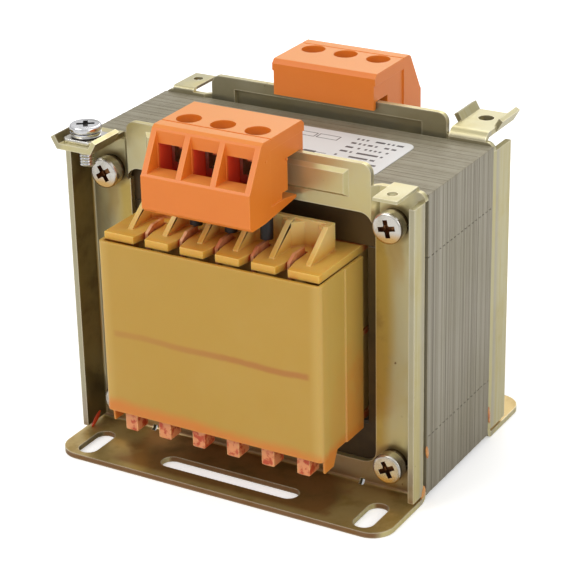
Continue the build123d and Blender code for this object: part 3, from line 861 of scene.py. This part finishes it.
        # Dark front and rear faces in the window: varnish brown with painted shade
        _, facing, _ = mix.normal()
        plate = mix.ramp(mix.sum("ABSOLUTE", facing), 0.7, 0.9)
        dark = mix.blend(patches, (92, 74, 42), (66, 52, 32))
        mix.tint(dark, plate, (mix.across, 0.0465, 0.0400))
        relief = mix.add("ShaderNodeBump",
                         {"Height": mix.sum("SUBTRACT", tone, groove), "Distance": groove_depth})
        return mix.done(relief.outputs[0])

    def _coil_cover(self) -> Material:
        """Tan translucent nylon, orange where varnish ran along its lower edge and its steps, with painted
        highlights at its ends and edges.
        """
        mix = self._mix("coil cover nylon", (192, 149, 54), 0.38, subsurface=0.22, subsurface_scale=0.004)
        orange, line_height = (218, 124, 40), 0.0390
        mix.tint((200, 160, 78), mix.patches(24.0, 0.4, 0.7), 0.35)
        # Painted highlight towards the cover's vertical ends
        mix.tint((214, 178, 98), (mix.across, 0.0275, 0.0306, 0.0, 0.5))
        wander = mix.patches(70.0, 0.3, 0.7)
        leftward = mix.ramp(mix.x, 0.03, -0.03, 0.0, 0.0016)
        soaked = mix.shifted(mix.sum("SUBTRACT", mix.z, leftward), wander, 0.0010)
        mix.tint(orange, (soaked, 0.0200, 0.0166, 0.0, 0.85))
        step = mix.times((mix.across, 0.0306, 0.0311), (mix.out, 0.0370, 0.0330),
                         (mix.shifted(mix.z, wander, 0.02), 0.05, 0.02))
        mix.tint(orange, step, 0.55)
        off_line = mix.size_off(mix.shifted(mix.z, wander, -0.0005), line_height)
        line = mix.times((off_line, 0.0013, 0.0003), (mix.across, 0.0285, 0.0270))
        mix.tint((176, 96, 44), line, (mix.x, -0.03, 0.02, 0.3, 0.62))
        # Painted highlight along the edges
        mix.tint((222, 186, 112), mix.edges(0.0009), 0.45)
        return mix.done(mix.grain(500.0, 0.00002))

    def _bobbin(self) -> Material:
        """Amber nylon with painted highlights above and on its edges, red-brown in its inner corners and pink
        with red fibres on the hanging blocks.
        """
        mix = self._mix("bobbin nylon", (226, 180, 86), 0.32, subsurface=0.3, subsurface_scale=0.004)
        patches = mix.patches(120.0, 0.45, 0.7)
        mix.tint((212, 140, 60), patches, 0.35)
        # Painted highlight on the upper part
        mix.tint((246, 216, 146), (mix.z, 0.0655, 0.0700, 0.0, 0.7))
        tip = mix.times((mix.out, 0.0360, 0.0380), (mix.z, 0.0630, 0.0640))
        mix.tint((232, 172, 58), tip, 0.6)
        closed = mix.add("ShaderNodeAmbientOcclusion", {"Distance": 0.003}, samples=8).outputs["AO"]
        corner = mix.ramp(mix.sum("ADD", closed, mix.times(patches, -0.25)), 0.62, 0.25)
        mix.tint((186, 62, 24), corner, 0.85)
        fibrous = mix.blend(mix.patches(520.0, 0.46, 0.6), (228, 150, 98), (192, 72, 34))
        mix.tint(fibrous, (mix.z, 0.0175, 0.0165))
        # Painted highlight along the edges
        mix.tint((250, 222, 150), mix.edges(0.0006), 0.6)
        return mix.done(mix.grain(600.0, 0.00003))

    def _varnish(self) -> Material:
        """Glossy runs of impregnating varnish, red at the left and amber at the right."""
        mix = self._mix("varnish run", (238, 84, 40), 0.12, coat=0.6, coat_roughness=0.08, subsurface=0.2)
        patches = mix.patches(400.0, 0.4, 0.7)
        mix.tint((214, 60, 26), patches)
        amber = mix.blend(patches, (206, 140, 62), (176, 88, 36))
        mix.tint(amber, (mix.x, 0.0, 0.02))
        return mix.done()


# Sub-assemblies


@dataclass
class SoftenedMouldings:
    """The pressed and moulded pieces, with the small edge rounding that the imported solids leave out."""

    finishes: Finishes
    sheet_edge: float = 0.16 * MM
    moulded_edge: float = 0.3 * MM
    bobbin_edge: float = 0.12 * MM

    def build(self, nodes: dict[str, Piece]) -> None:
        """Makes every softened piece, which then stands for its node.

        Args:
            nodes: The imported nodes.
        """
        finishes = self.finishes
        sided = (("frame", "yellow_zinc", finishes.passivated, self.sheet_edge),
                 ("terminal_housing", "terminal_nylon", finishes.terminal, self.moulded_edge),
                 ("coil_cover", "cover_nylon", finishes.cover, self.moulded_edge))
        work = [(f"{side.value}_{part}", *dress) for side in Side for part, *dress in sided]
        work += [("bobbin", "bobbin_nylon", finishes.bobbin, self.bobbin_edge),
                 ("earth_clamp_washer", "bright_zinc", finishes.bright_zinc, self.sheet_edge),
                 ("core_nuts", "bright_zinc", finishes.bright_zinc, self.sheet_edge)]
        for node, slot, finish, width in work:
            mounted(softened_copy(nodes[node], f"{node}_finished", width), finish, [node])


@dataclass
class LaminatedStack:
    """E and I sheets in bunches that alternate end for end, each bunch a little off the next."""

    finishes: Finishes
    width: float = 96 * MM
    height: float = 80 * MM
    limb: float = 16 * MM
    centre_limb: float = 32 * MM
    low: float = 1.5 * MM
    depth: float = 35.94 * MM
    bunches: int = 36
    joint: float = 0.22 * MM
    play: float = 0.05 * MM
    places_back: int = 5
    stagger: int = 7

    def build(self) -> None:
        """Makes the E sheets and the I sheets, each as one piece."""
        pitch = self.depth / self.bunches
        e_parts: list[Piece] = []
        i_parts: list[Piece] = []
        for n in range(self.bunches):
            y_low = -self.depth / 2 + n * pitch
            inset = self.play * (n * self.stagger % self.places_back) / self.places_back
            e_boxes, i_box = self._bunch(n % 2 == 0, inset)
            for parts, boxes in ((e_parts, e_boxes), (i_parts, [i_box])):
                for x_low, x_high, z_low, z_high in boxes:
                    parts.append(block("sheet", Vector((x_low, y_low, z_low)),
                                       Vector((x_high, y_low + pitch, z_high))))
        mounted(joined("e_sheets", e_parts), self.finishes.lamination, ["e_laminations"])
        mounted(joined("i_sheets", i_parts), self.finishes.lamination, ["i_laminations"])

    def _bunch(self, yoke_low: bool, inset: float
               ) -> tuple[list[tuple[float, float, float, float]], tuple[float, float, float, float]]:
        """Gives the front outlines of one bunch.

        Args:
            yoke_low: True if the E sheets' yoke lies at the bottom.
            inset: How far this bunch stands back from the outline, in metres.

        Returns:
            The boxes of the E sheets and the box of the I sheet, each as two X and two Z values.
        """
        half = self.width / 2 - inset
        bottom, top = self.low + inset, self.low + self.height - inset
        split = top - self.limb if yoke_low else bottom + self.limb
        gap = self.joint / 2 if yoke_low else -self.joint / 2
        i_box = (-half, half, *sorted((split + gap, top if yoke_low else bottom)))
        yoke_edge = bottom + self.limb if yoke_low else top - self.limb
        e_boxes = [(-half, half, *sorted((yoke_edge, bottom if yoke_low else top)))]
        inner = self.centre_limb / 2
        for x_low, x_high in ((-half, -half + self.limb), (-inner, inner), (half - self.limb, half)):
            e_boxes.append((x_low, x_high, *sorted((yoke_edge, split - gap))))
        return e_boxes, i_box


@dataclass
class CoreBolts:
    """Four pan-head bolts with cross recesses and split spring washers, and their rear ends."""

    finishes: Finishes
    twists: tuple[tuple[int, int, float], ...] = ((1, 1, 12), (1, 0, 28), (-1, 1, 32), (-1, 0, 70))
    face: float = 19.5 * MM
    washer_height: float = 1.1 * MM
    head_height: float = 3.4 * MM
    head_round: float = 0.75 * MM
    recess_width: float = 1.25 * MM
    recess_depth: float = 1.5 * MM
    recess_edge: float = 0.08 * MM
    washer_radius: float = 3.75 * MM
    washer_edge: float = 0.12 * MM
    washer_gap: float = 0.05 * MM
    split_lean: float = 25.0
    shank_radius: float = 1.95 * MM
    shank_overlap: float = 0.5 * MM
    thread_radius: float = 1.98 * MM
    rear_reach: float = 24.3 * MM

    def build(self) -> None:
        """Makes all four bolts as one piece."""
        pieces = [self._bolt(hand * BOLT_ACROSS, BOLT_LOW + row * BOLT_ROW, twist)
                  for hand, row, twist in self.twists]
        made = joined("core_bolts_finished", pieces)
        mounted(made, self.finishes.bolt_zinc, ["core_bolts"])

    def _bolt(self, x: float, z: float, twist: float) -> Piece:
        """Makes one bolt with its washer at its place.

        Args:
            x: Place along X in metres.
            z: Height in metres.
            twist: Turn of the recess in degrees.

        Returns:
            The bolt.
        """
        seat = self.face + self.washer_height
        top = seat + self.head_height
        head = bar("head", Vector((0, 0, seat)), Vector((0, 0, top)), HEAD_RADIUS, 64)
        head = ease_edges(head, self.head_round, HEAD_ANGLE, 5)
        head = cut(head, driver_recess(self.recess_width, top, self.recess_depth, twist))
        head = ease_edges(head, self.recess_edge, HEAD_ANGLE, 1)
        washer = bar("washer", Vector((0, 0, self.face)), Vector((0, 0, seat - self.washer_gap)),
                     self.washer_radius, 48)
        notch = block("split", Vector((2.0, -0.35, 18)) * MM, Vector((4.5, 0.35, 22)) * MM)
        lean = math.radians(self.split_lean if x < 0 else 0.0)
        notch.data.transform(Matrix.Rotation(lean, 4, "X"))
        washer = ease_edges(cut(washer, [notch]), self.washer_edge, HEAD_ANGLE, 1)
        shank = bar("shank", Vector((0, 0, -self.face)), Vector((0, 0, self.face + self.shank_overlap)),
                    self.shank_radius, 24)
        thread = threaded_bar("thread", self.thread_radius, -self.rear_reach, -self.face)
        made = joined("bolt", [head, washer, shank, thread])
        made.data.transform(Matrix.Translation((x, 0, z)) @ Matrix.Rotation(math.pi / 2, 4, "X"))
        return made


@dataclass
class EarthScrew:
    """Earth screw with a tapered head, a cross recess and the thread that shows under the tab."""

    finishes: Finishes
    place: Vector = field(default_factory=EARTH_PLACE.copy)
    foot_radius: float = 3.6 * MM
    foot_height: float = 1.3 * MM
    foot_round: float = 0.2 * MM
    head_height: float = 3.1 * MM
    head_round: float = 0.6 * MM
    recess_width: float = 1.2 * MM
    recess_depth: float = 1.4 * MM
    twist: float = 35.0
    thread_radius: float = 1.95 * MM
    overlap: float = 0.2 * MM
    length: float = 7.8 * MM

    def build(self) -> None:
        """Makes the screw."""
        clear_selection()
        bpy.ops.mesh.primitive_cone_add(vertices=64, radius1=self.foot_radius, radius2=HEAD_RADIUS,
                                        depth=self.foot_height, location=(0, 0, self.foot_height / 2))
        lower = added("lower")
        upper = bar("upper", Vector((0, 0, self.foot_height)), Vector((0, 0, self.head_height)),
                    HEAD_RADIUS, 64)
        upper = ease_edges(upper, self.head_round, HEAD_ANGLE, 4)
        recess = driver_recess(self.recess_width, self.head_height, self.recess_depth, self.twist)
        upper = cut(upper, recess)
        thread = threaded_bar("thread", self.thread_radius, -self.length, self.overlap)
        made = joined("earth_screw_finished", [ease_edges(lower, self.foot_round), upper, thread])
        made.data.transform(Matrix.Translation(self.place))
        mounted(made, self.finishes.screw_zinc, ["earth_screw"])


@dataclass
class GateMarks:
    """The small raised marks that the mould leaves on the ends of the terminal housings."""

    finishes: Finishes
    places: tuple[tuple[float, float], ...] = ((-36.0, 90.0), (-26.5, 87.5))
    end: float = 15.0 * MM
    radius: float = 0.32 * MM
    rise: float = 0.12 * MM
    edge: float = 0.05 * MM

    def build(self) -> None:
        """Makes the marks of both housings, each housing's as one piece."""
        for side in Side:
            marks = []
            for y, z in self.places:
                start = Vector((self.end - self.rise, y * MM, z * MM))
                mark = bar("gate mark", start, start + Vector((2 * self.rise, 0, 0)), self.radius, 20)
                marks.append(ease_edges(mark, self.edge))
            made = joined(f"{side.value}_gate_marks", marks)
            made.data.transform(side.turn)
            mounted(made, self.finishes.terminal)


@dataclass
class VarnishRuns:
    """Runs and beads of impregnating varnish that set where the part drained."""

    finishes: Finishes

    def build(self) -> None:
        """Makes each run as a small flattened drop."""
        drops = (("run_at_left_flange", (-46.5, -24.6, 3.0), (0.5, 2.6, 0.8), 35),
                 ("bead_on_core_side", (48.0, -17.6, 13.4), (0.3, 0.7, 1.9), 12),
                 ("bead_at_right_bend", (47.7, -19.4, 3.0), (0.6, 1.2, 1.7), -20),
                 ("bead_at_rear_flange", (48.0, 18.6, 7.0), (0.25, 0.7, 2.6), 8))
        for name, place, radii, lean in drops:
            clear_selection()
            bpy.ops.mesh.primitive_uv_sphere_add(segments=32, ring_count=20, radius=1)
            drop = bpy.context.object
            drop.name = name
            shape = Matrix.Diagonal((*(r * MM for r in radii), 1))
            turn = Matrix.Rotation(math.radians(lean), 4, "X")
            drop.data.transform(Matrix.Translation(millimetres(*place)) @ turn @ shape)
            pick(drop)
            bpy.ops.object.shade_smooth()
            mounted(drop, self.finishes.varnish)


@dataclass
class CarriedNodes:
    """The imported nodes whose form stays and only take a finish."""

    finishes: Finishes

    def dress(self, nodes: dict[str, Piece]) -> None:
        """Gives each node its material.

        Args:
            nodes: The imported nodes.
        """
        finishes = self.finishes
        materials = {"winding_film": finishes.film, "winding": finishes.copper,
                     "solder_tags": finishes.tag_brass, "terminal_pins": finishes.tag_brass,
                     "sleeved_leads": finishes.sleeve, "terminal_clamps": finishes.screw_steel,
                     "rating_label": finishes.label}
        for name, node in nodes.items():
            for ending, material in materials.items():
                if name.endswith(ending):
                    node.data.materials.clear()
                    node.data.materials.append(material)
                    break


@dataclass
class Studio:
    """Floor, world, lamps and the camera at the photograph's angle."""

    focal_pixels: float = 2100.5
    frame_pixels: float = 576.0
    azimuth: float = 30.394
    elevation: float = 24.037
    roll: float = -1.209
    camera_place: Vector = field(default_factory=lambda: millimetres(249.2, -426.5, 261.1))
    world_light: float = 0.6
    floor_size: float = 12.0
    floor_drop: float = 0.1 * MM
    floor_glow: float = 0.42
    sensor_width: float = 36.0
    aim: Vector = field(default_factory=lambda: millimetres(0, 0, 45))

    def build(self) -> None:
        """Makes the whole studio."""
        self._world()
        self._floor()
        self._lamps()
        self._camera()

    def _world(self) -> None:
        """An even pale world that the camera sees as white."""
        world = bpy.data.worlds.new("studio")
        world.use_nodes = True
        world.node_tree.nodes.clear()
        recipe = Recipe(world.node_tree)
        path = recipe.add("ShaderNodeLightPath")
        _, _, height = recipe.split(recipe.add("ShaderNodeTexCoord").outputs["Generated"])
        reflected = recipe.ramp(height, -0.25, 0.55, 0.15, 0.9)
        glossy = recipe.add("ShaderNodeMix", {0: path.outputs["Is Glossy Ray"], 2: self.world_light,
                                              3: reflected}).outputs[0]
        strength = recipe.add("ShaderNodeMix", {0: path.outputs["Is Camera Ray"], 2: glossy,
                                                3: 1.0}).outputs[0]
        light = recipe.add("ShaderNodeBackground", {"Color": (1.0, 1.0, 1.0), "Strength": strength})
        recipe.add("ShaderNodeOutputWorld", {"Surface": light.outputs[0]})
        bpy.context.scene.world = world

    def _floor(self) -> None:
        """A plain pale floor under the feet."""
        clear_selection()
        bpy.ops.mesh.primitive_plane_add(size=self.floor_size, location=(0, 0, -self.floor_drop))
        floor = bpy.context.object
        floor.name = "floor"
        recipe, shader, material = Surface("pale floor", 0.6, specular=0.2).start()
        shader.inputs["Base Color"].default_value = (*shade(246, 246, 246), 1.0)
        path = recipe.add("ShaderNodeLightPath")
        glow = recipe.add("ShaderNodeEmission", {"Color": (1.0, 1.0, 1.0), "Strength": self.floor_glow})
        seen = recipe.add("ShaderNodeMixShader", {0: path.outputs["Is Camera Ray"]})
        added = recipe.add("ShaderNodeAddShader", {0: shader.outputs[0], 1: glow.outputs[0]})
        recipe.tree.links.new(shader.outputs[0], seen.inputs[1])
        recipe.tree.links.new(added.outputs[0], seen.inputs[2])
        output = next(node for node in recipe.tree.nodes if node.type == "OUTPUT_MATERIAL")
        recipe.tree.links.new(seen.outputs[0], output.inputs["Surface"])
        floor.data.materials.append(material)

    def _lamps(self) -> None:
        """Soft boxes: one high at the front left, one lower at the right and one behind."""
        for name, place, size, power in (("key box", Vector((-0.55, -0.75, 0.95)), 0.7, 5.4),
                                         ("fill box", Vector((0.95, -0.35, 0.45)), 0.6, 2.3),
                                         ("back box", Vector((-0.2, 0.9, 0.8)), 0.7, 2.9)):
            data = bpy.data.lights.new(name, "AREA")
            data.shape = "SQUARE"
            data.size = size
            data.energy = power
            lamp = bpy.data.objects.new(name, data)
            lamp.location = place
            lamp.rotation_euler = (self.aim - place).to_track_quat("-Z", "Y").to_euler()
            bpy.context.scene.collection.objects.link(lamp)

    def _camera(self) -> None:
        """The camera of the photograph, from its fitted angles."""
        data = bpy.data.cameras.new("camera")
        data.sensor_width = self.sensor_width
        data.lens = self.focal_pixels / self.frame_pixels * data.sensor_width
        data.clip_start = 0.01
        camera = bpy.data.objects.new("camera", data)
        bpy.context.scene.collection.objects.link(camera)
        turn, rise, lean = (math.radians(a) for a in (self.azimuth, self.elevation, self.roll))
        back = Vector((math.sin(turn) * math.cos(rise), -math.cos(turn) * math.cos(rise), math.sin(rise)))
        right = Vector((math.cos(turn), math.sin(turn), 0))
        up = back.cross(right)
        level_x = math.cos(lean) * right + math.sin(lean) * up
        level_y = -math.sin(lean) * right + math.cos(lean) * up
        axes = Matrix((level_x, level_y, back)).transposed()
        camera.matrix_world = Matrix.Translation(self.camera_place) @ axes.to_4x4()
        bpy.context.scene.camera = camera


def main() -> None:
    """Builds and dresses the transformer, piece by piece."""
    logging.basicConfig(level=logging.INFO, format="%(name)s %(message)s")
    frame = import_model()
    bpy.context.scene.view_settings.view_transform = "Standard"
    nodes = frame["nodes"]
    finishes = Finishes(SharedEffects())
    Studio().build()
    CarriedNodes(finishes).dress(nodes)
    SoftenedMouldings(finishes).build(nodes)
    LaminatedStack(finishes).build()
    CoreBolts(finishes).build()
    EarthScrew(finishes).build()
    GateMarks(finishes).build()
    VarnishRuns(finishes).build()


if __name__ == "__main__":
    main()
